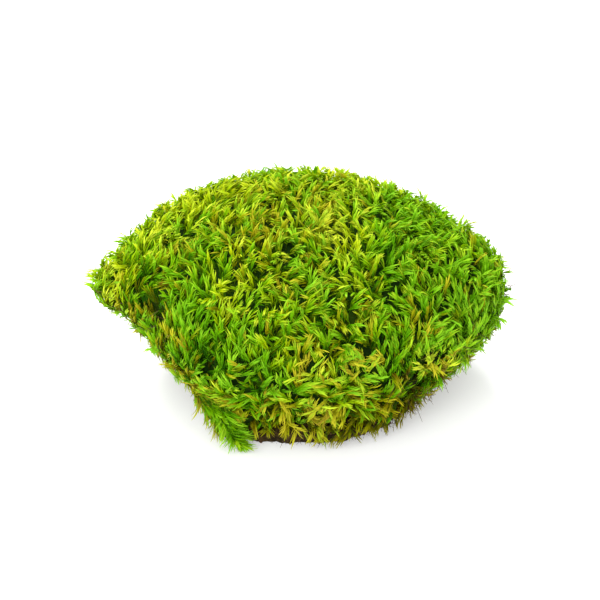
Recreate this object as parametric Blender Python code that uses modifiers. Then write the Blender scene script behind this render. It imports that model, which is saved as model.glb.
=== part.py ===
"""A loose clump of cushion moss, 100 mm wide, resting as it would on a table.

moss_cushion is the living part: shoots grown so tightly together that they form one dome, which overhangs
its foot all round. rhizoid_mat is the brown pad of dead stems, rhizoids and soil that it stands on, flat
underneath where the clump was cut from the ground.

Metres, +Z up. The origin is at the middle of the clump, on the surface that it rests on.
"""

import math

import bmesh
import bpy
from mathutils import Vector

# Driving dimensions of the whole clump, out to the tips of its shoots.
WIDTH = 0.100
DEPTH = 0.080
HEIGHT = 0.050

# The belly is the level where the dome is widest. Below it the underside runs in towards the foot.
BELLY_SHARE = 0.50  # of the height
UNDERSIDE_SHARE = 0.64  # depth that the round underside would have if it weren't cut flat, of the height

# The mat's top is a shallow dome, centred behind and to the right of the middle, so that the front-left
# shoots hang nearly to the table.
MAT_THICKNESS = 0.012
MAT_DOME_RADIUS = 0.110
MAT_MIDDLE = (0.006, 0.008)
MAT_INSET = 0.985  # the shoots overhang the rim of the mat by this share
GAP = 0.0003  # between the cushion and the mat

CAGE_CUTS = 9  # cage faces along each edge of the cube that the dome starts from, less one
DOME_SEGMENTS = 72

# Swellings and hollows that make the clump lopsided, seen from its middle:
# azimuth from +X, elevation, spread in degrees, and height outwards.
LOBES = {
    "left lip": (188, 8, 12, 0.0070),
    "crease beside the lip": (214, 6, 11, -0.0065),
    "underside of the lip": (196, -12, 9, -0.0045),
    "undercut below the lip": (203, -30, 22, -0.0090),
    "toe of drooping shoots": (246, -49, 9, 0.0165),
    "front foot": (297, -46, 26, 0.0022),
    "front belly": (285, 0, 30, 0.0015),
    "right shoulder": (350, 16, 22, 0.0030),
    "undercut on the right": (335, -34, 22, -0.0034),
    "crown hump": (95, 55, 30, 0.0016),
    "dip in the crown": (20, 58, 22, -0.0015),
    "back-left hollow": (140, 0, 18, -0.0022),
    "back lobe": (95, 8, 22, 0.0020),
    "back-right hollow": (45, 10, 18, -0.0030),
}


def clear_scene():
    for old in list(bpy.data.objects):
        bpy.data.objects.remove(old, do_unlink=True)


def new_collection(name):
    collection = bpy.data.collections.new(name)
    bpy.context.scene.collection.children.link(collection)
    return collection


def plain_material(name, colour, roughness):
    material = bpy.data.materials.new(name)
    material.use_nodes = True
    shader = material.node_tree.nodes["Principled BSDF"]
    shader.inputs["Base Color"].default_value = (*colour, 1)
    shader.inputs["Roughness"].default_value = roughness
    shader.inputs["Metallic"].default_value = 0
    return material


def direction(azimuth, elevation):
    """The unit vector at these angles, in degrees."""
    turn, rise = math.radians(azimuth), math.radians(elevation)
    return Vector((math.cos(turn) * math.cos(rise), math.sin(turn) * math.cos(rise), math.sin(rise)))


def swelling(towards):
    """How far the lobes push the surface out in this direction."""
    total = 0
    for azimuth, elevation, spread, height in LOBES.values():
        off = towards.angle(direction(azimuth, elevation)) / math.radians(spread)
        total += height * math.exp(-off * off)
    return total


def outer_point(towards):
    """The cage point in this direction from the middle of the belly, with z counted from the table."""
    above = towards.z > 0
    z_reach = HEIGHT * (1 - BELLY_SHARE if above else UNDERSIDE_SHARE)
    point = Vector((WIDTH / 2 * towards.x, DEPTH / 2 * towards.y, z_reach * towards.z))
    point += towards * swelling(towards)
    return point + Vector((0, 0, BELLY_SHARE * HEIGHT))


def outer_form():
    """The whole outer form, underside included, as a smooth mesh of exactly the driving size."""
    mesh = bpy.data.meshes.new("outer form")
    cage = bmesh.new()
    bmesh.ops.create_cube(cage, size=2)
    bmesh.ops.subdivide_edges(cage, edges=cage.edges[:], cuts=CAGE_CUTS, use_grid_fill=True)
    for vertex in cage.verts:
        vertex.co = outer_point(vertex.co.normalized())
    cage.to_mesh(mesh)
    cage.free()

    smooth = bpy.data.objects.new("outer form", mesh)
    bpy.context.scene.collection.objects.link(smooth)
    subdivision = smooth.modifiers.new("soft", "SUBSURF")
    subdivision.levels = subdivision.render_levels = 1
    form = bpy.data.meshes.new_from_object(smooth.evaluated_get(bpy.context.evaluated_depsgraph_get()))
    bpy.data.objects.remove(smooth)

    lowest = [min(vertex.co[axis] for vertex in form.vertices) for axis in range(3)]
    highest = [max(vertex.co[axis] for vertex in form.vertices) for axis in range(3)]
    for vertex in form.vertices:
        for axis, size in ((0, WIDTH), (1, DEPTH)):
            middle = (lowest[axis] + highest[axis]) / 2
            vertex.co[axis] = (vertex.co[axis] - middle) * size / (highest[axis] - lowest[axis])
        vertex.co.z *= HEIGHT / highest[2]
    return form


def add_piece(name, mesh, material, collection):
    piece = bpy.data.objects.new(name, mesh)
    collection.objects.link(piece)
    mesh.materials.clear()
    mesh.materials.append(material)
    mesh.shade_smooth()
    return piece


def add_cutter(name, collection):
    """The active object as a helper that cuts, kept out of the model."""
    cutter = bpy.context.object
    cutter.name = name
    for holder in list(cutter.users_collection):
        holder.objects.unlink(cutter)
    collection.objects.link(cutter)
    cutter.hide_render = True
    cutter.display_type = "WIRE"
    return cutter


def ground_cutter(collection):
    """A block under the table's surface, which leaves the underside flat."""
    side = 2 * WIDTH
    bpy.ops.mesh.primitive_cube_add(size=side, location=(0, 0, -side / 2))
    return add_cutter("ground", collection)


def dome_cutter(name, raised, collection):
    """A large ball whose top is the face where mat and cushion meet, raised by this much."""
    bpy.ops.mesh.primitive_uv_sphere_add(
        segments=DOME_SEGMENTS,
        ring_count=DOME_SEGMENTS // 2,
        radius=MAT_DOME_RADIUS + raised,
        location=(*MAT_MIDDLE, MAT_THICKNESS - MAT_DOME_RADIUS),
    )
    return add_cutter(name, collection)


def cut(piece, cutter, operation):
    boolean = piece.modifiers.new(cutter.name, "BOOLEAN")
    boolean.operation = operation
    boolean.object = cutter
    boolean.solver = "EXACT"


def build_cushion(form, ground, collection, cutters):
    green = plain_material("living moss", (0.16, 0.30, 0.02), 0.75)
    cushion = add_piece("moss_cushion", form.copy(), green, collection)
    cut(cushion, dome_cutter("hollow over the mat", GAP, cutters), "DIFFERENCE")
    cut(cushion, ground, "DIFFERENCE")


def build_mat(form, ground, collection, cutters):
    brown = plain_material("dead stems and soil", (0.10, 0.055, 0.022), 0.95)
    mesh = form.copy()
    for vertex in mesh.vertices:
        vertex.co.x *= MAT_INSET
        vertex.co.y *= MAT_INSET
    mat = add_piece("rhizoid_mat", mesh, brown, collection)
    cut(mat, dome_cutter("top of the mat", 0, cutters), "INTERSECT")
    cut(mat, ground, "DIFFERENCE")


clear_scene()
clump = new_collection("moss clump")
helpers = new_collection("cutters")
form = outer_form()
table = ground_cutter(helpers)
build_cushion(form, table, clump, helpers)
build_mat(form, table, clump, helpers)
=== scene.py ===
import math

import bpy
import numpy as np
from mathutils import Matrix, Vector, noise


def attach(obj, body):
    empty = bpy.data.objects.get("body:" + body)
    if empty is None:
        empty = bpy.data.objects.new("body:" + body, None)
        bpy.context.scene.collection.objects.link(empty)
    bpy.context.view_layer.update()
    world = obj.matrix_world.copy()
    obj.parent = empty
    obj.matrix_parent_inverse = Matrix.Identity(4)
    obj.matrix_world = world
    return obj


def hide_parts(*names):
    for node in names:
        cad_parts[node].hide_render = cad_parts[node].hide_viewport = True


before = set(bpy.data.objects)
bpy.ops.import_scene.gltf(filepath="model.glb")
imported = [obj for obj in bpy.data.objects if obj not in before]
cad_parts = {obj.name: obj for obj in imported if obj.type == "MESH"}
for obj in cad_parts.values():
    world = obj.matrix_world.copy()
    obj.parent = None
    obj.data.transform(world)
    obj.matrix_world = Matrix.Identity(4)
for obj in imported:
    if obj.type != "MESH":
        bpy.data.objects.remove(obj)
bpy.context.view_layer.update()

MM = 0.001  # the script's sizes are in millimetres, times this


# ---- The old growth ----
# Inside the cushion the stems have dropped their leaves and stand so close that they read as one dark
# body. It is the cushion's own form drawn in below the leaves, with a rough skin.

# Its nearly black colour is partly painted shade, which deepens the gaps between the tufts.
OLD_GROWTH_DEPTH = 4.5 * MM
OLD_GROWTH_VOXEL = 1.0 * MM
OLD_GROWTH_LUMPS = (2.6 * MM, 0.9 * MM)  # their size and height
SAME_POINT = 0.01 * MM  # points of a CAD mesh that lie nearer to each other are one
NOISE_START = (5.1, 9.7)
LAYERS_APART = 17.3  # in the noise, so that each layer is different


def merged_copy(node, name):
    """A copy of a CAD node's mesh as the active object, with its loose triangles joined up."""
    copy = bpy.data.objects.new(name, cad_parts[node].data.copy())
    bpy.context.scene.collection.objects.link(copy)
    bpy.ops.object.select_all(action="DESELECT")
    copy.select_set(True)
    bpy.context.view_layer.objects.active = copy
    bpy.ops.object.mode_set(mode="EDIT")
    bpy.ops.mesh.select_all(action="SELECT")
    bpy.ops.mesh.remove_doubles(threshold=SAME_POINT)
    bpy.ops.object.mode_set(mode="OBJECT")
    return copy


def read(collection, field, width):
    """One field of a mesh's vertices or triangles as an array, with a row for each."""
    values = np.empty(len(collection) * width, np.int32 if field == "vertices" else np.float32)
    collection.foreach_get(field, values)
    return values.reshape(-1, width)


class Paint:
    """A socket in a material. Sums and products with it add Math nodes."""

    def __init__(self, tree, socket=None):
        self.tree, self.socket = tree, socket

    def node(self, kind, settings=None, sockets=None, output=0):
        """Adds a node and gives one of its outputs. The setting named stops fills a colour ramp."""
        made = self.tree.nodes.new(kind)
        for name, value in (settings or {}).items():
            if name == "stops":
                ramp = made.color_ramp
                while len(ramp.elements) < len(value):
                    ramp.elements.new(1)
                for element, (place, colour) in zip(ramp.elements, value):
                    element.position, element.color = place, (*colour, 1)
            else:
                setattr(made, name, value)
        for name, value in (sockets or {}).items():
            if isinstance(value, Paint):
                self.tree.links.new(value.socket, made.inputs[name])
            else:
                made.inputs[name].default_value = value
        return Paint(self.tree, made.outputs[output] if made.outputs else None)

    def maths(self, operation, other):
        return self.node("ShaderNodeMath", {"operation": operation}, {0: self, 1: other})

    def __add__(self, other):
        return self.maths("ADD", other)

    def __mul__(self, other):
        return self.maths("MULTIPLY", other)

    __radd__, __rmul__ = __add__, __mul__

    def between(self, low, high):
        """0 below low, 1 above high and smooth between."""
        smooth = {"interpolation_type": "SMOOTHSTEP"}
        return self.node("ShaderNodeMapRange", smooth, {0: self, 1: low, 2: high, 3: 0.0, 4: 1.0})

    def blend(self, start, end):
        """One colour turning into another as this value goes from 0 to 1."""
        return self.node("ShaderNodeMix", {"data_type": "RGBA"}, {0: self, 6: start, 7: end}, output=2)

    def ramp(self, stops):
        return self.node("ShaderNodeValToRGB", {"stops": stops}, {0: self})

    def beside(self, output):
        """Another output of the node that this socket belongs to."""
        return Paint(self.tree, self.socket.node.outputs[output])

    def surface(self, colour, roughness, gloss, **others):
        """The shader of an opaque surface."""
        sockets = {"Base Color": colour, "Roughness": roughness, "Specular IOR Level": gloss, **others}
        return self.node("ShaderNodeBsdfPrincipled", sockets=sockets)


def new_material(name):
    """An empty material and the Paint that adds nodes to it."""
    material = bpy.data.materials.new(name)
    material.use_nodes = True
    material.node_tree.nodes.clear()
    return material, Paint(material.node_tree)


def finish_material(paint, shader):
    """Makes the shader the surface of its material."""
    paint.node("ShaderNodeOutputMaterial", sockets={"Surface": shader})


def object_noise(paint, scale, detail):
    """Noise over the object, with this many lumps to a metre."""
    place = paint.node("ShaderNodeTexCoord", output=3)
    return paint.node("ShaderNodeTexNoise", sockets={"Vector": place, "Scale": scale, "Detail": detail})


def old_growth_and_shade_material():
    """Nearly black green, partly as painted shade, in patches of 6 mm and specks of 1 mm."""
    material, paint = new_material("dark old stems")
    patches = object_noise(paint, scale=160, detail=3.0)
    specks = object_noise(paint, scale=900, detail=2.0)
    tint = (patches * 0.6 + specks * 0.4).ramp(
        [(0.30, (0.003, 0.012, 0.0002)), (0.48, (0.008, 0.030, 0.0004)), (0.62, (0.022, 0.048, 0.0008))]
    )
    finish_material(paint, paint.surface(tint, roughness=0.9, gloss=0.1))
    return material


def shrink(depth):
    """Draws the active mesh in along its normals, as Alt+S does."""
    bpy.ops.object.mode_set(mode="EDIT")
    bpy.ops.mesh.select_all(action="SELECT")
    bpy.ops.transform.shrink_fatten(value=-depth)
    bpy.ops.object.mode_set(mode="OBJECT")


def remesh(piece, voxel):
    """Rebuilds the active piece with even faces of about this size."""
    modifier = piece.modifiers.new("even", "REMESH")
    modifier.mode, modifier.voxel_size = "VOXEL", voxel
    bpy.ops.object.modifier_apply(modifier=modifier.name)


def move_vertices(mesh, points):
    """Moves a mesh's vertices to these points."""
    mesh.vertices.foreach_set("co", points.astype(np.float32).ravel())
    mesh.update()


def drift(places, size, layer):
    """A smooth value from about -1 to 1 that changes over this size, different for each layer."""
    start = Vector((layer * LAYERS_APART, *NOISE_START))
    return np.array([noise.noise(Vector(place / size) + start) for place in places])


def roughen(piece, size, height, layer):
    """Moves each vertex along its normal by smooth noise, and keeps it above the table."""
    points = read(piece.data.vertices, "co", 3).astype(float)
    normals = read(piece.data.vertices, "normal", 3).astype(float)
    points += normals * (height * drift(points, size, layer))[:, None]
    points[:, 2] = np.maximum(points[:, 2], 0)
    move_vertices(piece.data, points)


def wear(piece, material, slot, *nodes):
    """Gives a finished piece its material and its body, and hides the solids that it stands for."""
    piece.data.materials.clear()
    piece.data.materials.append(material)
    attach(piece, "root")
    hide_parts(*nodes)


old_growth = merged_copy("moss_cushion", "old_growth")
shrink(OLD_GROWTH_DEPTH)
remesh(old_growth, OLD_GROWTH_VOXEL)
roughen(old_growth, *OLD_GROWTH_LUMPS, layer=1)
old_growth.data.shade_smooth()
wear(old_growth, old_growth_and_shade_material(), "living_moss", "moss_cushion")


# ---- The shoots ----
# Each shoot is a slender stem clothed in narrow leaves, which lie along it and close up around its tip.
# The leaves curve to one side like sickles, so the tip is a small hook. Shoots stand in tufts with dark gaps
# between them. One leaf and one stem are modelled, and every shoot is copies of them, joined by the thousand.

TUFT_SPACING = 1.45 * MM
SHOOTS_IN_A_TUFT = (1, 2, 2, 3)
TUFT_REACH = 0.60 * MM  # from a tuft's middle to its outer shoots
TUFT_REACHES = (0.5, 1.2)  # the least and the most of that
TUFT_SPLAY = 0.25  # how far its outer shoots lean outwards
LOWEST_TUFT = 5.5 * MM
SIZES_VARY = (0.8, 1.2)  # the least and the most of a usual size
SHOOT_LENGTH = 4.8 * MM
SHOOT_LENGTHS = (0.86, 1.12)  # the least and the most of that
OUTER_SHORTER = 0.06  # how much shorter the outer shoots of a tuft are
STEM_RADIUS = 0.13 * MM
STEM_SHARE = 0.95  # of the shoot's length
STEM_BEND = 0.90  # radians, roughly, from foot to tip
STEM_YOUTH = (0.02, 0.30)  # at its foot and at its tip
LEAVES = 10
BARE_SHARE = 0.22  # of the shoot, below its leaves
LEAFY_SHARE = 0.75
LEAF_LENGTH = 2.3 * MM
LEAF_WIDTH = 0.38 * MM
LEAF_REACH = 0.62  # how far the last leaves reach past the stem, in leaf lengths
LOWEST_LEAF = 0.85  # its length, in leaf lengths
HIGHEST_LEAF_LONGER = 0.25
# The flat leaf, 1 long: the length and the width of its foot, then each further stretch and how much narrower
# the leaf is at its end, and the stretch to its point.
LEAF_FOOT = (0.25, 0.6)
LEAF_STRETCHES = ((0.27, 0.86), (0.26, 0.66))
LEAF_POINT = 0.22
LEAF_TWIST = 0.3  # how far leaves are turned about their length at random
LOWEST_LEAF_SPREAD = 36  # degrees from the stem
HIGHEST_LEAF_SPREAD = 10
CLOSING_UP = 0.8  # below 1, leaves start to close up low on the shoot
SPREADS_VARY = (0.75, 1.25)
# A leaf's tip points partly along the shoot, partly the way that the leaf set out, and most of all to the
# side that the tuft is swept to.
TIP_ALONG_SHOOT = 0.55
TIP_AS_AT_FOOT = 0.35
SICKLE = (0.7, 2.0)  # the weakest and the strongest curve to that side
LEAF_TIP_STRAY = 0.12
# Youth runs from 0, old and shut in and darkened partly as painted shade, to 1, the pale tip of a young leaf,
# partly a painted sheen: where the lowest leaf's foot is on it, how much further the highest leaf's is, and
# how much further a leaf's tip is than its foot.
YOUTH_AT_FOOT = 0.05
YOUTH_UP_THE_SHOOT = 0.50
YOUTH_ALONG_LEAF = 0.42
GOLDEN_TURN = math.radians(137.508)  # from each leaf to the next, round the stem
TURN_STRAY = 0.25  # radians
TABLE_CLEARANCE = 0.15 * MM
SINK = 0.2 * MM  # what reaches less than this under the table is pressed flat on it


def select_where(test):
    """Selects the vertices of the mesh in edit mode whose place passes the test."""
    bpy.ops.mesh.select_all(action="DESELECT")
    bpy.ops.object.mode_set(mode="OBJECT")
    mesh = bpy.context.object.data
    for vertex in mesh.vertices:
        vertex.select = test(vertex.co)
    for edge in mesh.edges:
        edge.select = all(mesh.vertices[end].select for end in edge.vertices)
    bpy.ops.object.mode_set(mode="EDIT")


def model_leaf():
    """One flat leaf, 1 long along Y and 1 wide: broad near its foot and drawn out to a point."""
    foot_length, foot_width = LEAF_FOOT
    bpy.ops.object.select_all(action="DESELECT")
    bpy.ops.mesh.primitive_plane_add(size=1, location=(0, foot_length / 2, 0))
    leaf = bpy.context.object
    leaf.scale = (1, foot_length, 1)
    bpy.ops.object.transform_apply(location=True, scale=True)
    bpy.ops.object.mode_set(mode="EDIT")
    select_where(lambda at: at.y < foot_length / 2)
    bpy.ops.transform.resize(value=(foot_width, 1, 1))
    select_where(lambda at: at.y > foot_length / 2)
    for stretch, narrowing in LEAF_STRETCHES:
        bpy.ops.mesh.extrude_region_move(TRANSFORM_OT_translate={"value": (0, stretch, 0)})
        bpy.ops.transform.resize(value=(narrowing, 1, 1))
    bpy.ops.mesh.extrude_region_move(TRANSFORM_OT_translate={"value": (0, LEAF_POINT, 0)})
    bpy.ops.mesh.merge(type="CENTER")
    bpy.ops.object.mode_set(mode="OBJECT")
    return leaf


def model_stem():
    """One three-sided stem in two lengths, 1 tall and 1 in radius at its foot, thinner towards its tip."""
    bpy.ops.object.select_all(action="DESELECT")
    bpy.ops.mesh.primitive_cone_add(
        vertices=3, radius1=1, radius2=0.5, depth=1, location=(0, 0, 0.5), end_fill_type="NOTHING"
    )
    stem = bpy.context.object
    bpy.ops.object.transform_apply(location=True)
    bpy.ops.object.mode_set(mode="EDIT")
    bpy.ops.mesh.select_all(action="SELECT")
    bpy.ops.mesh.bisect(plane_co=(0, 0, 0.5), plane_no=(0, 0, 1))
    bpy.ops.object.mode_set(mode="OBJECT")
    return stem


class Pattern:
    """The points and faces of a small modelled shape, which is then removed from the scene."""

    def __init__(self, shape):
        mesh = shape.data
        self.points = read(mesh.vertices, "co", 3).astype(float)
        self.counts = np.array([len(face.vertices) for face in mesh.polygons])
        self.corners = np.array([corner for face in mesh.polygons for corner in face.vertices])
        bpy.data.objects.remove(shape)


leaf_pattern = Pattern(model_leaf())
stem_pattern = Pattern(model_stem())


class Heap:
    """Copies of patterns, gathered to be joined in one mesh."""

    def __init__(self):
        self.points, self.marks, self.corners, self.counts, self.size = [], [], [], [], 0

    def add(self, pattern, points, marks):
        """points and marks hold a row of places and of map places for each copy. Copies that would go
        through the table are left out."""
        clear = points[:, :, 2].min(1) > -SINK
        points, marks = points[clear], marks[clear]
        copies, each = points.shape[:2]
        starts = self.size + np.arange(copies)[:, None] * each
        self.corners.append((starts + pattern.corners).ravel())
        self.counts.append(np.tile(pattern.counts, copies))
        self.points.append(points.reshape(-1, 3))
        self.marks.append(marks.reshape(-1, 2))
        self.size += copies * each

    def piece(self, name):
        """All the copies as one new piece."""
        points, marks = np.concatenate(self.points), np.concatenate(self.marks)
        corners, counts = np.concatenate(self.corners), np.concatenate(self.counts)
        points[:, 2] = np.maximum(points[:, 2], TABLE_CLEARANCE)
        mesh = bpy.data.meshes.new(name)
        mesh.vertices.add(len(points))
        mesh.vertices.foreach_set("co", points.astype(np.float32).ravel())
        mesh.loops.add(len(corners))
        mesh.loops.foreach_set("vertex_index", corners.astype(np.int32))
        mesh.polygons.add(len(counts))
        mesh.polygons.foreach_set("loop_start", (np.cumsum(counts) - counts).astype(np.int32))
        mesh.update(calc_edges=True)
        marks_of_corners = mesh.uv_layers.new(name="OFBake")
        marks_of_corners.uv.foreach_set("vector", marks[corners].clip(0, 1).astype(np.float32).ravel())
        mesh.shade_smooth()
        made = bpy.data.objects.new(name, mesh)
        bpy.context.scene.collection.objects.link(made)
        return made


def unit(vectors):
    """Each vector's direction, 1 long."""
    return vectors / np.maximum(np.linalg.norm(vectors, axis=-1, keepdims=True), 1e-12)


def along_surface(vectors, normals):
    """What is left of each vector at right angles to its normal, as a direction."""
    return unit(vectors - normals * (vectors * normals).sum(1, keepdims=True))


def square_to(axis, rng):
    """A direction at right angles to each axis, turned at random."""
    return unit(np.cross(axis, unit(rng.normal(size=axis.shape))))


def arched(flat, foot, leaving, arriving, length, width, rng):
    """Lays copies of the flat leaf along arches that set out one way and arrive another."""
    along = flat[None, :, 1, None]
    across = unit(np.cross(leaving, arriving) + LEAF_TWIST * rng.normal(size=leaving.shape))
    reach = leaving[:, None] * along + (arriving - leaving)[:, None] * along**2 / 2
    offset = flat[None, :, 0, None] * across[:, None]
    return foot[:, None] + reach * length[:, None, None] + offset * width[:, None, None]


MARK_WIDTH = 0.004  # how much of the colour map's width a leaf covers


def marked(flat_width, tone, youth):
    """Places on the colour map: across it by tone, from dead to lime, and up it by youth, from old to new."""
    return np.stack([tone[:, None] + flat_width[None] * MARK_WIDTH, youth], 2)


def add_stems(heap, foot, axis, bend, length, radius, tone, youth, rng):
    """Adds stems that stand at foot along axis and bend over. youth is at their foot and at their tip."""
    side = square_to(axis, rng)
    third = np.cross(axis, side)
    stem = stem_pattern.points[None, :, :, None]
    middle = foot[:, None] + length[:, None, None] * (
        axis[:, None] * stem[:, :, 2] + bend[:, None] * stem[:, :, 2] ** 2 / 2
    )
    stems = middle + radius * (side[:, None] * stem[:, :, 0] + third[:, None] * stem[:, :, 1])
    at_foot, at_tip = youth
    youth = at_foot + (at_tip - at_foot) * stem_pattern.points[None, :, 2].repeat(len(foot), 0)
    heap.add(stem_pattern, stems, marked(stem_pattern.points[:, 0], tone, youth))


def add_shoots(heap, foot, axis, length, tone, pale, sweep, rng, leaves=LEAVES, leaf_length=LEAF_LENGTH):
    """Adds shoots that stand at foot along axis, with their leaves curved towards sweep. pale makes them
    look younger, and also carries painted light and shade."""
    count = len(foot)
    sweep = along_surface(sweep, axis)
    bend = sweep * STEM_BEND
    add_stems(heap, foot, axis, bend, length * STEM_SHARE, STEM_RADIUS, tone, STEM_YOUTH, rng)
    side = square_to(axis, rng)
    turn = rng.uniform(0, 2 * math.pi, count)
    for number in range(leaves):
        level = (number + 0.5) / leaves
        rise = BARE_SHARE + LEAFY_SHARE * level
        forward = unit(axis + bend * rise)
        across = along_surface(side, forward)
        third = np.cross(forward, across)
        angle = turn + number * GOLDEN_TURN + rng.normal(0, TURN_STRAY, count)
        outward = across * np.cos(angle)[:, None] + third * np.sin(angle)[:, None]
        start = foot + length[:, None] * (axis * rise + bend * rise**2 / 2)
        spread = LOWEST_LEAF_SPREAD + (HIGHEST_LEAF_SPREAD - LOWEST_LEAF_SPREAD) * level**CLOSING_UP
        spread = np.radians(spread * rng.uniform(*SPREADS_VARY, count))[:, None]
        leaving = forward * np.cos(spread) + outward * np.sin(spread)
        arriving = forward * TIP_ALONG_SHOOT + leaving * TIP_AS_AT_FOOT
        arriving = arriving + sweep * rng.uniform(*SICKLE, count)[:, None]
        arriving = unit(arriving + rng.normal(0, LEAF_TIP_STRAY, (count, 3)))
        size = leaf_length * (LOWEST_LEAF + HIGHEST_LEAF_LONGER * level) * rng.uniform(*SIZES_VARY, count)
        width = LEAF_WIDTH * rng.uniform(*SIZES_VARY, count)
        leaf_tone = (tone + rng.normal(0, LEAF_TONE_STRAY, count)).clip(*LEAF_TONE_RANGE)
        youth = YOUTH_AT_FOOT + YOUTH_UP_THE_SHOOT * level + pale[:, None]
        youth = youth + YOUTH_ALONG_LEAF * leaf_pattern.points[None, :, 1]
        leaf = arched(leaf_pattern.points, start, leaving, arriving, size, width, rng)
        heap.add(leaf_pattern, leaf, marked(leaf_pattern.points[:, 0], leaf_tone, youth))


MIDDLE_TONE = 0.60
DEEP_GREEN = 0.52  # the lowest tone of a shoot that hasn't aged
TONE_DRIFTS = ((14 * MM, 0.10), (5 * MM, 0.20))  # over how far the tone changes, and by how much
TUFT_TONE_STRAY = 0.08
SHOOT_TONE_STRAY = 0.06
LEAF_TONE_STRAY = 0.03
TONE_RANGE = (0.02, 0.98)
LEAF_TONE_RANGE = (0.01, 0.99)
# Tones run from dead brown at 0 through gold and deep green to fresh green, and to lime at 1. Each patch is
# a place on the clump in millimetres, its radius and how much it changes the tone of the green shoots.
TONE_PATCHES = {
    "yellow patch on the crown": ((9, -12, 48), 8, 0.38),
    # The lime rim is partly painted rim light along the top of the clump.
    "lime rim and painted rim light, far left": ((-31, 9, 42), 9, 0.26),
    "lime rim and painted rim light, left": ((-20, 12, 46), 13, 0.30),
    "lime rim and painted rim light, middle": ((8, 20, 47), 12, 0.26),
    "lime rim and painted rim light, right": ((16, 16, 46), 8, 0.10),
    "lime left shoulder": ((-33, -2, 43), 12, 0.15),
    "yellow-green over the crown": ((-2, -6, 50), 18, 0.20),
    "yellow-green left of the middle": ((-14, -28, 41), 9, 0.27),
    "yellow-green right of the middle": ((14, -27, 42), 7, 0.22),
    "lime lip": ((-45, -9, 33), 8, 0.25),
    "yellow right of the patch": ((13, -19, 45), 4, 0.26),
    "green band beside the yellow": ((21, -15, 46), 7, -0.22),
    "green on the left": ((-25, -29, 31), 11, -0.05),
    "deep green low on the left": ((-21, -36, 22), 10, -0.14),
    "fresh green on the right": ((42, -14, 38), 12, 0.04),
    "deep green on the right": ((37, -22, 32), 9, -0.20),
    "deep green at the right edge": ((44, -16, 29), 9, -0.10),
    "yellow-green curls low in front": ((4, -40, 27), 8, 0.24),
    "green left of the curls": ((-7, -39, 22), 6, -0.12),
    "bright group low on the right": ((32, -29, 22), 6, 0.36),
    "fresh shoots over the toe": ((-18, -34, 12), 8, 0.24),
}
# Where shoots among the green ones have aged: a place, a radius, the share that has and their tone now.
AGED_PATCHES = {
    "ochre curls left of the yellow patch": ((-7, -9, 49), 12, 0.80, 0.38),
    "middle of the crown": ((1, 0, 50), 12, 0.68, 0.40),
    "below the yellow patch": ((1, -24, 44), 11, 0.56, 0.39),
    "left of the middle": ((-27, -14, 42), 10, 0.38, 0.40),
    "middle of the front": ((7, -35, 36), 11, 0.54, 0.38),
    "right of the middle": ((18, -36, 30), 9, 0.44, 0.37),
    "golden foot": ((4, -36, 8), 11, 0.99, 0.33),
    "golden foot on the right": ((16, -34, 11), 8, 0.85, 0.28),
    "foot left of the gold": ((-5, -33.5, 6.5), 7, 0.90, 0.26),
    "crease beside the lip": ((-36, -19, 32), 6, 0.60, 0.24),
    "underside of the lip": ((-43, -12, 26), 5, 0.35, 0.24),
    "left edge": ((-31, -22, 16), 7, 0.85, 0.25),
    "low left edge": ((-24, -24, 8), 7, 0.90, 0.25),
    "low right edge": ((28, -27, 11), 9, 0.70, 0.10),
    "right edge": ((38, -21, 14), 6, 0.40, 0.20),
}
AGED_EVERYWHERE = (0.07, 0.39)  # the share and the tone away from these patches
AGED_BELOW = (0.50, 0.22)  # and below the belly
# How steeply the surface looks down where that begins, and how much more steeply where it holds in full.
LOOKS_DOWN, LOOKS_DOWN_MORE = 0.42, 0.3
AGED_TONE_STRAY = 0.05
AGED_CLUSTERS = (3 * MM, 1.2)  # over how far aged shoots stand together, and how much
# Where leaves are paler than elsewhere, or duller, partly as painted light and shade: a place, a radius
# and by how much.
PALE_AND_PAINTED_LIGHT_PATCHES = [
    # the crown, from the left to the right
    ((-27, -2, 45), 7, 0.10),
    ((-22, 2, 47), 6, -0.20),
    ((-20, 12, 46), 12, -0.05),
    ((-16, -10, 47.5), 4, 0.22),
    ((-4, -18, 47), 3, 0.40),
    ((3, -18, 47), 3, -0.40),
    ((8, -9, 49), 6, 0.16),
    ((10, -12, 48), 8, 0.10),
    ((15, -14, 47), 5, -0.16),
    ((18, -14, 47), 6, -0.15),
    ((18, 4, 47.5), 6, 0.16),
    # the lip and the left side
    ((-46, -8, 34), 4, 0.16),
    ((-40, -13, 36), 3, -0.24),
    ((-40, -10, 38), 5, -0.16),
    ((-33, -22, 26), 4, -0.35),
    ((-29, -23, 14), 7, 0.14),
    ((-23, -27, 7), 5, 0.32),
    ((-15, -33, 4), 4, 0.20),
    # the upper front
    ((-23, -20, 42), 9, -0.16),
    ((-21, -33, 33), 4, -0.24),
    ((-10, -22, 46), 7, -0.18),
    ((-4, -38, 35), 4, -0.20),
    ((2, -29, 44), 4, 0.25),
    ((2, -36, 39), 4, -0.18),
    ((17, -32, 41), 5, -0.12),
    ((25, -32, 32), 3, -0.20),
    # the lower front
    ((-4, -39, 29), 4, -0.40),
    ((2, -39, 28), 3.5, 0.60),
    ((13.5, -39, 27), 3.5, 0.75),
    ((14, -39, 24), 5, 0.20),
    ((20, -36, 25), 3, 0.26),
    ((25, -35, 23.5), 3, -0.45),
    ((31, -31, 25), 5, 0.85),
    ((43, -19, 29), 7, 0.32),
    # the foot
    ((-8, -35, 9), 5, -0.40),
    ((-4.5, -36, 10.5), 4, -0.40),
    ((-3, -36, 9), 4, 0.35),
    ((1, -33, 4), 4, 0.45),
    ((3.5, -37, 12), 4, 1.00),
    ((9, -37, 12), 4, -0.22),
    ((16, -34, 10), 6, -0.32),
    ((27, -28, 12), 8, -0.26),
]
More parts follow.
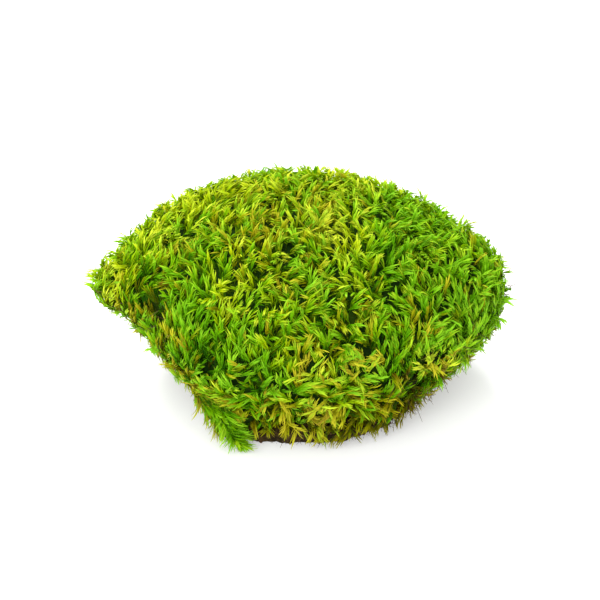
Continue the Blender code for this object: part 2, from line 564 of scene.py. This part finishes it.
# Small pits where the tufts stand low and apart, their shoots darkened as painted shade: a place and a
# radius.
PITS = [
    # beside the lip
    ((-38, -4, 38), 1.4),
    ((-34.5, -20, 37), 3.6),
    ((-36.5, -18.5, 33), 4.0),
    # the crown
    ((-15, -9, 48), 2.2),
    ((21, -26, 41), 2.4),
    # the front, from the left to the right
    ((-24, -34, 24), 3.4),
    ((-20, -35, 31), 1.8),
    ((-12, -38, 22), 2.2),
    ((-2, -36, 11), 2.2),
    ((7, -39, 29), 2.8),
    ((13, -38, 22), 2.0),
    ((17, -37, 31), 1.9),
    ((25.5, -34, 25), 3.4),
    ((26, -30, 10), 3.0),
    ((28, -31, 16), 4.2),
]
# Where the shoots all sweep upwards like a lawn: a place, a radius and how much.
UPRIGHT_PATCHES = [
    ((-22, -32, 29), 14, 1.0),
    ((30, -30, 24), 13, 0.5),
    ((-34, -8, 40), 12, 0.4),
]
# How tufts are combed: over how far they lean the same way and how much, how far single ones stray from
# it, and whether they lean down or up, by their height over the table.
COMBED = (8 * MM, 1.1)
COMB_STRAY = 0.60
COMB_RISE = ((6 * MM, 26 * MM), (-0.6, 0.6))
UPRIGHT_RISE = 1.2
UPRIGHT_CALM = 0.4  # how much less tufts stray in the upright patches
COMB_LEAN = 0.35  # how far a tuft leans the way it is combed
GROWTH_RISE = ((-0.9, 0.0, 0.5), (0.0, 0.7, 0.6))  # how far shoots turn up, by how far the surface looks up
GROWTH_STRAY = 0.06
SWEEP_STRAY = 0.30
# How far tips stand above the surface: everywhere, in waves and clusters with their size and height, at
# random, and more the higher they are on the clump.
TIP_LEVEL = 0.4 * MM
TIP_WAVES = (11 * MM, 0.6 * MM)
TIP_CLUSTERS = (3.5 * MM, 0.9 * MM)
TIP_LEVEL_STRAY = 0.44 * MM
TIP_RISE = ((25 * MM, 40 * MM), (0.0, 0.5 * MM))
TIP_RANGE = (-3.4 * MM, 1.6 * MM)
PIT_DEPTH = 3.1 * MM
SHAGGINESS = ((26 * MM, 42 * MM), (1.9, 1.0))  # the lower a tuft, the more its tips differ in level
PALE_STRAY = 0.10
# How much darker the shoots in the pits are painted, as shade.
PAINTED_SHADE_IN_PITS = 0.40
PAINTED_LIGHT_ON_HIGH_TIPS = 0.10  # painted light for a millimetre that shaggy tips stand out, and painted shade for tips that sit low


def patch_strength(places, place, radius):
    """1 in the middle of a patch, falling off smoothly around it."""
    return np.exp(-(np.linalg.norm(places - np.array(place) * MM, axis=1) / (radius * MM)) ** 2)


def patched(places, patches):
    """The sum of the patches' amounts at each place."""
    return sum(amount * patch_strength(places, place, radius) for place, radius, amount in patches)


def moss_tone(places, normals, rng):
    """The tone of a shoot at each place. In aged patches and below the belly, some have lost their green."""
    (wide, wide_change), (narrow, narrow_change) = TONE_DRIFTS
    tone = MIDDLE_TONE + wide_change * drift(places, wide, 3) + narrow_change * drift(places, narrow, 4)
    tone += rng.normal(0, TUFT_TONE_STRAY, len(places))
    tone = np.maximum(tone + patched(places, TONE_PATCHES.values()), DEEP_GREEN)
    (everywhere, tone_everywhere), (below, tone_below) = AGED_EVERYWHERE, AGED_BELOW
    down = ((-normals[:, 2] - LOOKS_DOWN) / LOOKS_DOWN_MORE).clip(0, 1)
    ageing = [(np.full(len(places), everywhere), tone_everywhere), (below * down, tone_below)]
    for place, radius, share, aged in AGED_PATCHES.values():
        ageing.append((share * patch_strength(places, place, radius), aged))
    fresh = np.prod([1 - share for share, _ in ageing], 0)
    aged_tone = sum(share * aged for share, aged in ageing) / sum(share for share, _ in ageing)
    aged_tone += rng.normal(0, AGED_TONE_STRAY, len(places))
    cluster, strength = AGED_CLUSTERS
    aged = rng.random(len(places)) < 1 - fresh ** (1 + strength * drift(places, cluster, 5))
    return np.where(aged, aged_tone, tone).clip(*TONE_RANGE)


def in_pits(places):
    """1 in the middle of a pit, falling off to 0 around it."""
    return np.max([patch_strength(places, place, radius) for place, radius in PITS], 0)


# Shoots start below the outside of the cushion's solid, and their tips reach it. Its concave face over the
# brown mat bears none.
HOLLOW_TURN = -0.88  # faces that look down more steeply than this are the hollow over the mat
HOLLOW_TOP = 13 * MM
TRIES = 10  # places tried on each square of the spacing


def far_apart(places, spacing):
    """The numbers of places that lie no nearer to each other than spacing, picked in their order."""
    near = [(i, j, k) for i in (-1, 0, 1) for j in (-1, 0, 1) for k in (-1, 0, 1)]
    cells = np.floor(places / spacing).astype(int).tolist()
    held, kept = {}, []
    for number, (place, (x, y, z)) in enumerate(zip(places, cells)):
        around = [other for i, j, k in near for other in held.get((x + i, y + j, z + k), ())]
        if all(((place - other) ** 2).sum() > spacing**2 for other in around):
            held.setdefault((x, y, z), []).append(place)
            kept.append(number)
    return kept


class Surface:
    """The triangles of a mesh that look and lie as asked, on which shoots, threads or crumbs stand."""

    def __init__(self, piece, wanted):
        piece.data.calc_loop_triangles()
        self.points = read(piece.data.vertices, "co", 3).astype(float)
        self.normals = read(piece.data.vertices, "normal", 3).astype(float)
        faces = read(piece.data.loop_triangles, "vertices", 3)
        turn, level = self.normals[faces].mean(1)[:, 2], self.points[faces].mean(1)[:, 2]
        self.faces = faces[wanted(turn, level)]

    def scattered(self, spacing, rng):
        """Places spread evenly over the surface, none nearer to another than spacing, and their normals."""
        corners = self.points[self.faces]
        first, second = corners[:, 1] - corners[:, 0], corners[:, 2] - corners[:, 0]
        area = np.linalg.norm(np.cross(first, second), axis=1) / 2
        tries = int(TRIES * area.sum() / spacing**2)
        face = rng.choice(len(corners), tries, p=area / area.sum())
        across, along = np.sqrt(rng.random(tries)), rng.random(tries)
        shares = np.stack([1 - across, across * (1 - along), across * along], 1)[:, :, None]
        places = (corners[face] * shares).sum(1)
        normals = unit((self.normals[self.faces[face]] * shares).sum(1))
        kept = far_apart(places, spacing)
        return places[kept], normals[kept]


def surface_of(node, wanted):
    """The wanted part of a CAD node's surface."""
    form = merged_copy(node, "form")
    surface = Surface(form, wanted)
    bpy.data.objects.remove(form)
    return surface


cushion_outside = surface_of("moss_cushion", lambda turn, level: (turn > HOLLOW_TURN) | (level > HOLLOW_TOP))

REGIONS = ("crown", "front", "right", "back", "left", "underside")
CROWN_TURN = 0.84  # the crown looks up more steeply than this
UNDERSIDE_TURN = -0.55


def region_of(places, normals):
    """The number of the region that each place lies in."""
    azimuth = np.degrees(np.arctan2(places[:, 1], places[:, 0]))
    side = np.floor((azimuth + 135) / 90).astype(int) % 4 + REGIONS.index("front")
    upper = np.where(normals[:, 2] > CROWN_TURN, REGIONS.index("crown"), side)
    return np.where(normals[:, 2] < UNDERSIDE_TURN, REGIONS.index("underside"), upper)


def drift_vector(places, size, layer):
    """Three values of drift as a vector."""
    return np.stack([drift(places, size, layer + step) for step in (0.0, 0.31, 0.67)], 1)


def combed(middles, normals, rng):
    """Which way each tuft is combed along the surface, and the direction in which it grows."""
    upright = patched(middles, UPRIGHT_PATCHES)
    size, strength = COMBED
    stray = rng.normal(0, COMB_STRAY, (len(middles), 3)) * (1 - UPRIGHT_CALM * upright[:, None])
    comb = drift_vector(middles, size, 6) * strength + stray
    comb[:, 2] += np.interp(middles[:, 2], *COMB_RISE) + UPRIGHT_RISE * upright
    comb = along_surface(comb, normals)
    up = np.interp(normals[:, 2], *GROWTH_RISE)[:, None] * (0, 0, 1)
    return comb, unit(normals + up + COMB_LEAN * comb)


def tip_levels(middles, pits, shaggy, rng):
    """How far the tips of each tuft stand above the surface."""
    (wave, wave_height), (cluster, cluster_height) = TIP_WAVES, TIP_CLUSTERS
    level = TIP_LEVEL + wave_height * drift(middles, wave, 9)
    level += shaggy * cluster_height * drift(middles, cluster, 10)
    level += rng.normal(0, TIP_LEVEL_STRAY, len(middles)) * shaggy
    level -= PIT_DEPTH * pits
    level += np.interp(middles[:, 2], *TIP_RISE)
    return level.clip(*TIP_RANGE)


def grow_shoots():
    """The shoots of the cushion, joined into a piece for each region."""
    rng = np.random.default_rng(7)
    middles, normals = cushion_outside.scattered(TUFT_SPACING, rng)
    high = middles[:, 2] > LOWEST_TUFT
    middles, normals = middles[high], normals[high]
    comb, growth = combed(middles, normals, rng)
    tone = moss_tone(middles, normals, rng)
    pits = in_pits(middles)
    shaggy = np.interp(middles[:, 2], *SHAGGINESS)
    level = tip_levels(middles, pits, shaggy, rng)
    paleness_and_painted_light = patched(middles, PALE_AND_PAINTED_LIGHT_PATCHES) - PAINTED_SHADE_IN_PITS * pits + PAINTED_LIGHT_ON_HIGH_TIPS * (shaggy - 1) * level / MM
    heaps = [Heap() for _ in REGIONS]
    region = region_of(middles, normals)
    size = rng.choice(SHOOTS_IN_A_TUFT, len(middles))
    for place in range(max(SHOOTS_IN_A_TUFT)):
        outer = min(place, 1)  # a tuft's first shoot is its middle one, and the others stand beside it
        for number, heap in enumerate(heaps):
            here = np.flatnonzero((region == number) & (size > place))
            count = len(here)
            aside = square_to(growth[here], rng)
            beside = aside * (outer * TUFT_REACH * rng.uniform(*TUFT_REACHES, count))[:, None]
            lean = growth[here] + aside * outer * TUFT_SPLAY
            axis = unit(lean + rng.normal(0, GROWTH_STRAY, (count, 3)))
            length = SHOOT_LENGTH * rng.uniform(*SHOOT_LENGTHS, count) * (1 - OUTER_SHORTER * outer)
            tip = middles[here] + normals[here] * level[here][:, None] + beside
            foot = tip - axis * (length + LEAF_LENGTH * LEAF_REACH)[:, None]
            shade = (tone[here] + rng.normal(0, SHOOT_TONE_STRAY, count)).clip(*TONE_RANGE)
            pale = rng.normal(0, PALE_STRAY, count) + paleness_and_painted_light[here]
            sweep = along_surface(comb[here] + rng.normal(0, SWEEP_STRAY, (count, 3)), normals[here])
            add_shoots(heap, foot, axis, length, shade, pale, sweep, rng)
    return [heap.piece("shoots_" + name) for heap, name in zip(heaps, REGIONS)]


# Leaf colours by tone: shut in at the foot, darkened partly as painted shade, along the leaf, and at its
# tip, paler and bluer partly as a painted sheen.
LEAF_COLOURS = {
    0.00: ((0.018, 0.010, 0.001), (0.090, 0.046, 0.004), (0.220, 0.130, 0.022)),
    0.16: ((0.029, 0.025, 0.0003), (0.150, 0.115, 0.001), (0.330, 0.270, 0.012)),
    0.32: ((0.043, 0.058, 0.0002), (0.265, 0.255, 0.001), (0.560, 0.510, 0.024)),
    0.50: ((0.011, 0.066, 0.0002), (0.066, 0.235, 0.0003), (0.182, 0.460, 0.013)),
    0.68: ((0.019, 0.086, 0.0002), (0.112, 0.310, 0.0003), (0.292, 0.560, 0.016)),
    0.84: ((0.046, 0.100, 0.0002), (0.262, 0.410, 0.0005), (0.500, 0.660, 0.026)),
    1.00: ((0.066, 0.100, 0.0002), (0.384, 0.450, 0.001), (0.675, 0.740, 0.042)),
}
GLOW_COLOUR = (0.28, 0.52, 0.0005, 1)  # of the light that comes through a leaf
GLOW_SHARE = 0.22
TURNS_FRESH = (0.12, 0.55)  # the youth over which a leaf's colour turns from shut in, with its painted shade, to fresh
TURNS_PALE = (0.45, 0.98)


def map_place(paint):
    """How far across the colour map a point lies. Its height on the map is the next output."""
    spot = paint.node("ShaderNodeUVMap", {"uv_map": "OFBake"})
    return paint.node("ShaderNodeSeparateXYZ", sockets={0: spot})


def leaf_material():
    """Dark where a leaf is old or shut in, partly as painted shade, fresh along its length and pale at the
    tips of the youngest, partly as a painted sheen.
    """
    material, paint = new_material("living leaves")
    tone = map_place(paint)
    youth = tone.beside(1)
    shut_in_and_shaded, along, at_tip = [
        tone.ramp([(place, colours[part]) for place, colours in LEAF_COLOURS.items()]) for part in range(3)
    ]
    colour = youth.between(*TURNS_FRESH).blend(shut_in_and_shaded, along)
    colour = youth.between(*TURNS_PALE).blend(colour, at_tip)
    leaf = paint.surface(colour, roughness=0.38, gloss=0.02)
    glow = paint.node("ShaderNodeBsdfTranslucent", sockets={"Color": GLOW_COLOUR})
    finish_material(paint, paint.node("ShaderNodeMixShader", sockets={0: GLOW_SHARE, 1: leaf, 2: glow}))
    return material


living_leaves = leaf_material()
for shoots in grow_shoots():
    wear(shoots, living_leaves, "living_moss", "moss_cushion")


# ---- The skirt ----
# Round the foot of the clump older shoots hang down against the side of the mat to the table. They are
# olive and brown except at the front left, where a tuft of fresh ones hangs down to a point like a toe.

SIDE_TURN = 0.9  # faces of the mat that look up or down more steeply than this aren't its side
SKIRT_SPACING = 1.2 * MM
SKIRT_LENGTH = 3.2 * MM
SKIRT_LEAF = 3.2 * MM
SKIRT_LEAVES = 8
SKIRT_FLARE = (0.0, 0.30)  # how far its shoots stand out
SKIRT_PALENESS = -0.06
SKIRT_SWEEP = 0.1  # outwards
SKIRT_SWEEP_STRAY = 0.5
SKIRT_TONE_DRIFT = (4 * MM, 0.07)
SKIRT_TONE_STRAY = 0.04
HANGING_STRAY = 0.14
# Seen from the clump's middle: degrees from +X, the tone there, the share of places that hold a shoot, and
# in millimetres the level of the lowest tips and how far the tips stand out from the mat's side. Along the
# front, the mat's dark edge, nearly black partly as painted contact shadow, shows under them as a thin line.
SKIRT = {
    0: (0.14, 0.80, 0.6, -1.5),
    40: (0.30, 0.90, 0.6, -1.5),
    120: (0.38, 0.95, 0.6, -1.5),
    165: (0.38, 0.90, 0.6, -1.5),
    195: (0.24, 0.60, 0.6, -1.5),
    205: (0.20, 0.35, 0.6, -1.5),
    232: (0.24, 0.30, 0.6, -1.5),
    240: (0.52, 1.00, 0.6, -1.5),
    249: (0.48, 1.00, 0.8, -1.3),
    256: (0.24, 1.00, 1.6, -0.5),
    275: (0.33, 1.00, 1.1, -0.3),
    290: (0.28, 1.00, 1.5, -0.4),
    310: (0.16, 1.00, 0.8, -1.2),
    320: (0.14, 0.90, 0.6, -1.5),
    360: (0.14, 0.80, 0.6, -1.5),
}
# Where the clump's front edge lies further back than its solid's: a place, a radius and by how much.
FOOT_SHIFTS = [
    ((-11, -31, 0), 8, 2.6),
    ((8, -29, 0), 7, -1.6),
    ((20, -22, 0), 6, -0.6),
]
# Tufts that hang to the table: where each begins and ends, half its width at the top, all in millimetres,
# its number of shoots, and the middle and the spread of their tones.
HANGING_TUFTS = {
    "toe_tuft": ((-18.0, -31.5, 9.0), (-12.8, -36.2, 0.9), 2.6, 100, 0.66, 0.07),
    "tuft_beside_the_toe": ((-24.5, -24.5, 12.5), (-17.0, -30.6, 1.4), 1.9, 90, 0.33, 0.10),
}
HANGING_LENGTHS = (3.0, 4.5)  # of its shoots, in millimetres
TUFT_TAPER = 0.9  # how much narrower it is at its end
TUFT_FALL = 1.5  # how closely its shoots keep to its line
TUFT_FORWARD = (0, -0.30, 0)
TUFT_TONE_RANGE = (0.1, 0.9)
# Hanging tufts are paler, partly as painted light that lifts the shade under the clump.
TUFT_PALENESS_AND_PAINTED_LIGHT = 0.08
TUFT_SWEEP = (0.6, 0.0, -0.6)
TUFT_SWEEP_STRAY = 0.35


def shift_foot(points):
    """Moves points at the foot of the clump towards its back."""
    points[:, 1] += patched(points, FOOT_SHIFTS) * MM


def hang_skirt():
    """Older shoots that hang all round the foot of the clump, as one piece."""
    rng = np.random.default_rng(11)
    mat_side = surface_of("rhizoid_mat", lambda turn, level: abs(turn) < SIDE_TURN)
    places, normals = mat_side.scattered(SKIRT_SPACING, rng)
    turn = np.degrees(np.arctan2(places[:, 1], places[:, 0])) % 360
    tone, cover, lowest, stand = [np.interp(turn, list(SKIRT), column) for column in zip(*SKIRT.values())]
    kept = (rng.random(len(places)) < cover) & (places[:, 2] > lowest * MM)
    places, normals, tone, stand = places[kept], normals[kept], tone[kept], stand[kept, None] * MM
    count = len(places)
    outwards = unit(places * (1, 1, 0))
    downwards = along_surface(np.array((0, 0, -1.0)), normals)
    shift_foot(places)
    lean = downwards + normals * rng.uniform(*SKIRT_FLARE, (count, 1))
    axis = unit(lean + rng.normal(0, HANGING_STRAY, (count, 3)))
    length = SKIRT_LENGTH * rng.uniform(*SIZES_VARY, count)
    foot = places + normals * stand - axis * (length + SKIRT_LEAF * LEAF_REACH)[:, None]
    size, change = SKIRT_TONE_DRIFT
    tone = tone + change * drift(places, size, 31) + rng.normal(0, SKIRT_TONE_STRAY, count)
    pale = rng.normal(SKIRT_PALENESS, PALE_STRAY, count) + patched(places, PALE_AND_PAINTED_LIGHT_PATCHES)
    sweep = outwards * SKIRT_SWEEP + rng.normal(0, SKIRT_SWEEP_STRAY, (count, 3))
    heap = Heap()
    add_shoots(heap, foot, axis, length, tone.clip(*TONE_RANGE), pale, sweep, rng, SKIRT_LEAVES, SKIRT_LEAF)
    return heap.piece("skirt")


def hang_tuft(name, rng):
    """A tuft of longer shoots that narrows towards its end, as one piece."""
    top, tip, spread, count, tone, tone_stray = HANGING_TUFTS[name]
    top, tip = np.array(top) * MM, np.array(tip) * MM
    down = rng.random((count, 1))
    tips = top + (tip - top) * down
    tips = tips + rng.uniform(-1, 1, (count, 3)) * spread * MM * (1 - TUFT_TAPER * down)
    lean = unit(tip - top) * TUFT_FALL + TUFT_FORWARD
    axis = unit(lean + rng.normal(0, HANGING_STRAY, (count, 3)))
    length = rng.uniform(*HANGING_LENGTHS, count) * MM
    foot = tips - axis * (length + SKIRT_LEAF * LEAF_REACH)[:, None]
    tone = (tone + rng.normal(0, tone_stray, count)).clip(*TUFT_TONE_RANGE)
    pale = rng.normal(TUFT_PALENESS_AND_PAINTED_LIGHT, PALE_STRAY, count) + patched(tips, PALE_AND_PAINTED_LIGHT_PATCHES)
    sweep = rng.normal(0, TUFT_SWEEP_STRAY, (count, 3)) + TUFT_SWEEP
    heap = Heap()
    add_shoots(heap, foot, axis, length, tone, pale, sweep, rng, leaf_length=SKIRT_LEAF)
    return heap.piece(name)


tuft_rng = np.random.default_rng(13)
for shoots in (hang_skirt(), *[hang_tuft(name, tuft_rng) for name in HANGING_TUFTS]):
    wear(shoots, living_leaves, "living_moss", "moss_cushion")


# ---- The rhizoid mat ----
# The brown foot that the shoots stand on: dead stems, rhizoids and soil matted together like felt, cut flat
# where it left the ground.

FELT_SHARE = 0.93  # of the mat's width and depth, so that it ends inside the hanging shoots
FRONT_OF_MAT = (0, -27 * MM, 0)  # where it isn't drawn in
FELT_VOXEL = 0.7 * MM
FELT_LUMPS = (3.0 * MM, 0.8 * MM)  # their size and height
FELT_GRAIN = (1.2 * MM, 0.35 * MM)


def mat_and_contact_shadow_material():
    """Nearly black brown, partly as painted contact shadow, in patches of 5 mm and specks below 1 mm,
    with a raised grain.
    """
    material, paint = new_material("brown felted mat")
    patches = object_noise(paint, scale=220, detail=4.0)
    specks = object_noise(paint, scale=1500, detail=3.0)
    tint = (patches * 0.55 + specks * 0.45).ramp(
        [(0.32, (0.005, 0.0035, 0.001)), (0.48, (0.018, 0.0115, 0.0025)), (0.62, (0.062, 0.040, 0.010))]
    )
    grain = paint.node("ShaderNodeBump", sockets={"Height": specks, "Strength": 0.6, "Distance": 0.4 * MM})
    finish_material(paint, paint.surface(tint, roughness=0.95, gloss=0.1, Normal=grain))
    return material


def draw_in(share, towards):
    """Narrows the active mesh towards a place, and leaves its height."""
    bpy.ops.object.mode_set(mode="EDIT")
    bpy.ops.mesh.select_all(action="SELECT")
    bpy.ops.transform.resize(value=(share, share, 1), center_override=towards)
    bpy.ops.object.mode_set(mode="OBJECT")


rhizoid_felt = merged_copy("rhizoid_mat", "rhizoid_felt")
remesh(rhizoid_felt, FELT_VOXEL)
draw_in(FELT_SHARE, FRONT_OF_MAT)
felt_points = read(rhizoid_felt.data.vertices, "co", 3).astype(float)
shift_foot(felt_points)
move_vertices(rhizoid_felt.data, felt_points)
roughen(rhizoid_felt, *FELT_LUMPS, layer=21)
roughen(rhizoid_felt, *FELT_GRAIN, layer=23)
rhizoid_felt.data.shade_smooth()
wear(rhizoid_felt, mat_and_contact_shadow_material(), "brown_mat", "rhizoid_mat")


# ---- The rhizoids and the soil ----
# Fine brown threads, the moss's rhizoids and dead stems, stand out of the mat's side and hang under the
# cushion. Crumbs of soil cling to the foot among them.

THREAD_RADIUS = 0.09 * MM
THREAD_BEND = 0.7
THREAD_ROOT = 1.2 * MM  # how deep a thread starts in the surface
THREAD_STRAY = 0.55
THREAD_MARKS = (0.4, 0.6)  # its root and its tip up the colour map, where its shade doesn't change
THREAD_BROWNS = [(0.0, (0.020, 0.011, 0.005)), (0.5, (0.085, 0.042, 0.014)), (1.0, (0.300, 0.200, 0.090))]
THREAD_SHADES = (2, 3)  # a beta distribution, so that more threads are dark than light
# How far apart threads stand, their shortest and greatest length, and how far they droop.
RHIZOIDS = (0.8 * MM, (1.5 * MM, 2.4 * MM), 0.9)
DEAD_STEMS = (1.4 * MM, (1.8 * MM, 3.2 * MM), 0.1)
DEAD_STEM_TURN = 0.1  # they stand on the cushion where it looks up less than this
# Where dead stems stand out from under the cushion: a place in millimetres, a radius and a share.
DEAD_STEM_PATCHES = [
    ((38, -20, 15), 12, 0.50),
    ((50, -4, 27), 6, 0.60),
    ((27, -27, 8), 8, 0.40),
    ((-45, -11, 26), 7, 0.60),
    ((-33, -22, 22), 8, 0.35),
    ((20, 30, 14), 12, 0.35),
    ((-30, 24, 14), 12, 0.30),
]
CRUMB_SPACING = 2.6 * MM
CRUMB_RADII = (0.25 * MM, 0.70 * MM)
CRUMB_FLATNESS = 0.75
CRUMB_SHADES = (2, 4)


def thread_material():
    """From dark brown through rust to tan, by how far across the colour map the thread lies."""
    material, paint = new_material("brown threads and crumbs")
    tint = map_place(paint).ramp(THREAD_BROWNS)
    finish_material(paint, paint.surface(tint, roughness=0.8, gloss=0.2))
    return material


def model_crumb():
    """One crumb of 20 faces, about 1 in radius and a little flat."""
    bpy.ops.object.select_all(action="DESELECT")
    bpy.ops.mesh.primitive_ico_sphere_add(subdivisions=1, radius=1)
    crumb = bpy.context.object
    crumb.scale = (1, 1, CRUMB_FLATNESS)
    bpy.ops.object.transform_apply(scale=True)
    return crumb


def grow_threads(name, surface, growth, rng, patches=()):
    """Strews threads over the surface, or over its patches if there are any."""
    spacing, lengths, droop = growth
    feet, normals = surface.scattered(spacing, rng)
    if patches:
        kept = rng.random(len(feet)) < patched(feet, patches)
        feet, normals = feet[kept], normals[kept]
    count = len(feet)
    axis = unit(normals + (0, 0, -droop) + rng.normal(0, THREAD_STRAY, (count, 3)))
    bend = rng.normal(0, THREAD_BEND, (count, 3))
    length = rng.uniform(*lengths, count)
    shade = rng.beta(*THREAD_SHADES, count)
    roots = feet - normals * THREAD_ROOT
    heap = Heap()
    add_stems(heap, roots, axis, bend, length, THREAD_RADIUS, shade, THREAD_MARKS, rng)
    return heap.piece(name)


def strew_crumbs(surface, rng):
    """Strews crumbs over the surface, turned at random and uneven, as one piece."""
    places, normals = surface.scattered(CRUMB_SPACING, rng)
    count, corners = len(places), len(crumb_pattern.points)
    radius = rng.uniform(*CRUMB_RADII, (count, 1, 1)) * rng.uniform(*SIZES_VARY, (count, corners, 1))
    first, second = square_to(normals, rng), unit(rng.normal(size=normals.shape))
    third = unit(np.cross(first, second))
    sides = (first, np.cross(third, first), third)
    turned = sum(side[:, None] * crumb_pattern.points[:, axis, None] for axis, side in enumerate(sides))
    shade = rng.beta(*CRUMB_SHADES, count)
    marks = marked(crumb_pattern.points[:, 0], shade, np.full((count, corners), 0.5))
    heap = Heap()
    heap.add(crumb_pattern, places[:, None] + turned * radius, marks)
    return heap.piece("soil_crumbs")


crumb_pattern = Pattern(model_crumb())
felt_side = Surface(rhizoid_felt, lambda turn, level: abs(turn) < SIDE_TURN)
cushion_below = surface_of(
    "moss_cushion", lambda turn, level: (turn < DEAD_STEM_TURN) & (turn > HOLLOW_TURN)
)
brown_threads = thread_material()
thread_rng = np.random.default_rng(17)
for piece in (
    grow_threads("rhizoids", felt_side, RHIZOIDS, thread_rng),
    grow_threads("dead_stems", cushion_below, DEAD_STEMS, thread_rng, DEAD_STEM_PATCHES),
    strew_crumbs(felt_side, thread_rng),
):
    wear(piece, brown_threads, "brown_mat", "rhizoid_mat")


# ---- The table, the light and the camera ----
# A plain white surface under soft light from above and behind, seen from about 29 degrees above it.

VIEW_DISTANCE = 0.85
VIEW_ELEVATION = math.radians(29)
FRAME_WIDTH = 0.143  # what the frame spans at the clump
AIM = Vector((0.0, 0.0, 0.0225))
TABLE_SIZE = 6
DAYLIGHT = 0.9

bpy.ops.object.select_all(action="DESELECT")
bpy.ops.mesh.primitive_plane_add(size=TABLE_SIZE, location=(0, 0, 0))
table = bpy.context.object
table.name = "table"
table_white, paint = new_material("white table")
glowing_white = {
    "Base Color": (0.7, 0.7, 0.7, 1),
    "Roughness": 0.8,
    "Emission Color": (1, 1, 1, 1),
    "Emission Strength": 0.35,
}
finish_material(paint, paint.node("ShaderNodeBsdfPrincipled", sockets=glowing_white))
table.data.materials.append(table_white)


def soft_light(name, place, size, power):
    """A square lamp at place that shines on the clump."""
    data = bpy.data.lights.new(name, "AREA")
    data.size, data.energy = size, power
    lamp = bpy.data.objects.new(name, data)
    lamp.location = place
    lamp.rotation_euler = (AIM - Vector(place)).to_track_quat("-Z", "Y").to_euler()
    bpy.context.scene.collection.objects.link(lamp)


soft_light("key light", (-0.25, 0.45, 0.85), size=0.7, power=17)
soft_light("front fill", (-0.25, -0.85, 0.60), size=0.8, power=11)

world = bpy.data.worlds.new("studio")
world.use_nodes = True
sky = world.node_tree.nodes["Background"]
sky.inputs["Color"].default_value = (1, 1, 1, 1)
sky.inputs["Strength"].default_value = DAYLIGHT
bpy.context.scene.world = world
bpy.context.scene.view_settings.view_transform = "Standard"

camera_data = bpy.data.cameras.new("camera")
camera_data.lens = camera_data.sensor_width * VIEW_DISTANCE / FRAME_WIDTH
camera = bpy.data.objects.new("camera", camera_data)
camera.location = AIM + VIEW_DISTANCE * Vector((0, -math.cos(VIEW_ELEVATION), math.sin(VIEW_ELEVATION)))
camera.rotation_euler = (math.pi / 2 - VIEW_ELEVATION, 0, 0)
bpy.context.scene.collection.objects.link(camera)
bpy.context.scene.camera = camera
